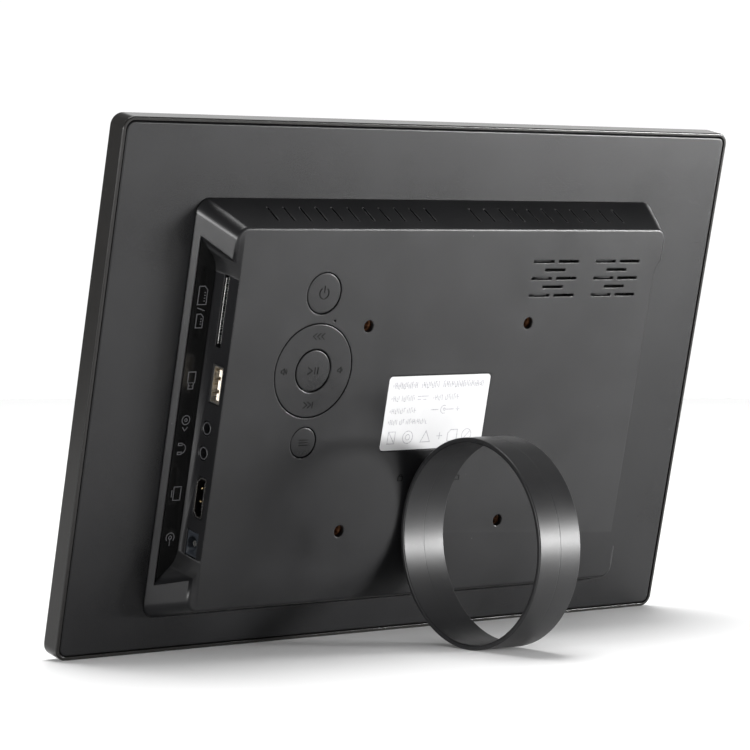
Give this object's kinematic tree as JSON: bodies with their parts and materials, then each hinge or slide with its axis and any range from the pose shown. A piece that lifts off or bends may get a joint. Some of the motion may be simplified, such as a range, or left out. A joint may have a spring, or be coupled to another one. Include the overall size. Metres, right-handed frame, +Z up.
{
  "type": "digital photo frame",
  "caption": "Flat screen frame leaning on a round ring stand, with a raised rear cover holding keys, speaker slots, cooling slots and a recess of sockets in one side.",
  "frame": {"origin": "centre of the bounding box on the floor plane", "axes": "+Z up, +X along the width towards the socket side, +Y to the rear where the ring stand is; the screen faces -Y and leans back 13 degrees"},
  "size_m": [0.282, 0.11, 0.1868],
  "materials": {
    "bezel": "polished black plastic",
    "screen_glass": "dark screen, switched off",
    "case_plastic": "satin black plastic with a fine spark texture",
    "stand_plastic": "smooth satin black plastic",
    "black_plastic": "black moulded plastic",
    "pale_plastic": "pale moulded plastic with bright contacts",
    "steel": "plated steel",
    "brass": "machined brass",
    "board": "printed circuit board",
    "label": null,
    "cable": "amber flat cable"
  },
  "bodies": {
    "case": {"front_bezel": "bezel", "lcd_panel": "screen_glass", "backlight_tray": "steel", "back_plate": "case_plastic", "rear_cover": "case_plastic", "rating_label": "label", "port_label_strip": "bezel", "main_board": "board", "key_board": "board", "card_socket": "steel", "usb_socket": "steel", "usb_tongue": "pale_plastic", "av_jack": "black_plastic", "headphone_jack": "black_plastic", "hd_socket": "steel", "hd_tongue": "black_plastic", "dc_jack": "black_plastic", "dc_pin": "steel", "power_switch": "black_plastic", "play_switch": "black_plastic", "menu_switch": "black_plastic", "previous_switch": "black_plastic", "next_switch": "black_plastic", "volume_up_switch": "black_plastic", "volume_down_switch": "black_plastic", "speaker_inner": "black_plastic", "speaker_outer": "black_plastic", "display_cable": "cable", "thread_insert_upper_left": "brass", "thread_insert_upper_right": "brass", "thread_insert_lower_left": "brass", "thread_insert_lower_right": "brass", "cover_screw_1": "steel", "board_screw_1": "steel", "cover_screw_2": "steel", "board_screw_2": "steel", "cover_screw_3": "steel", "board_screw_3": "steel", "cover_screw_4": "steel", "board_screw_4": "steel", "key_board_screw_1": "steel", "key_board_screw_2": "steel"},
    "stand": {"ring_stand": "stand_plastic", "stand_retainer": "steel", "stand_screw": "steel"},
    "power_button": {"power_button": "case_plastic"},
    "menu_button": {"menu_button": "case_plastic"},
    "play_button": {"play_button": "case_plastic"},
    "nav_carrier": {"nav_carrier": "black_plastic"},
    "nav_ring": {"nav_ring": "case_plastic"}
  },
  "joints": [
    {"name": "stand_twist", "type": "hinge", "parent": "case", "child": "stand", "pos_m": [0, -0.01905, 0.04592], "axis": [0, 0.9744, -0.2246], "range_deg": [0, 90]},
    {"name": "power_button_press", "type": "slide", "parent": "case", "child": "power_button", "axis": [0, -0.9744, 0.2246], "range_m": [0, 0.0005], "stiffness_N_per_m": 2000},
    {"name": "menu_button_press", "type": "slide", "parent": "case", "child": "menu_button", "axis": [0, -0.9744, 0.2246], "range_m": [0, 0.0005], "stiffness_N_per_m": 2000},
    {"name": "play_button_press", "type": "slide", "parent": "case", "child": "play_button", "axis": [0, -0.9744, 0.2246], "range_m": [0, 0.0005], "stiffness_N_per_m": 2000},
    {"name": "nav_rock_sideways", "type": "hinge", "parent": "case", "child": "nav_carrier", "pos_m": [0.0595, -0.01153, 0.09991], "axis": [0, 0.2246, 0.9744], "range_deg": [-1.6, 1.6], "stiffness_Nm_per_rad": 0.9},
    {"name": "nav_rock_up_down", "type": "hinge", "parent": "nav_carrier", "child": "nav_ring", "pos_m": [0.0595, -0.01153, 0.09991], "axis": [1, 0, 0], "range_deg": [-1.6, 1.6], "stiffness_Nm_per_rad": 0.9}
  ]
}
